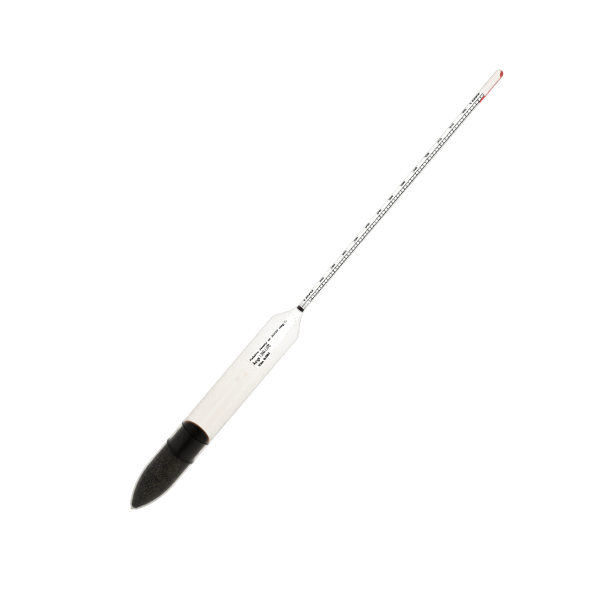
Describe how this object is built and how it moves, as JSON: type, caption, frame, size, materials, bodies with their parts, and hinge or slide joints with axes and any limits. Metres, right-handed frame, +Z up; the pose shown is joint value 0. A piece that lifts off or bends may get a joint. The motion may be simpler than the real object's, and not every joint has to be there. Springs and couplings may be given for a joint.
{
  "type": "hydrometer",
  "caption": "Sealed glass hydrometer with a bullet-nosed weighted float and a slim stem that holds a rolled paper density scale.",
  "frame": {"origin": "tip of the nose, on the stem's axis", "axes": "+Z up the stem; -Y is the side the scale faces; +X is the side with the red lacquer"},
  "size_m": [0.0188, 0.0188, 0.305],
  "materials": {
    "clear_glass": "clear, polished",
    "ballast_shot": "dark fine grains, dull",
    "black_wax": "glossy sealing wax",
    "scale_paper": "matt, printed in black",
    "black_cement": "glossy cement",
    "red_lacquer": "glossy lacquer"
  },
  "bodies": {
    "root": {"float_body": "clear_glass", "stem_tube": "clear_glass", "shot_bed": "ballast_shot", "wax_plug": "black_wax", "scale_paper": "scale_paper", "label_paper": "scale_paper", "scale_collar": "black_cement", "fixing_lacquer": "red_lacquer"}
  },
  "joints": []
}
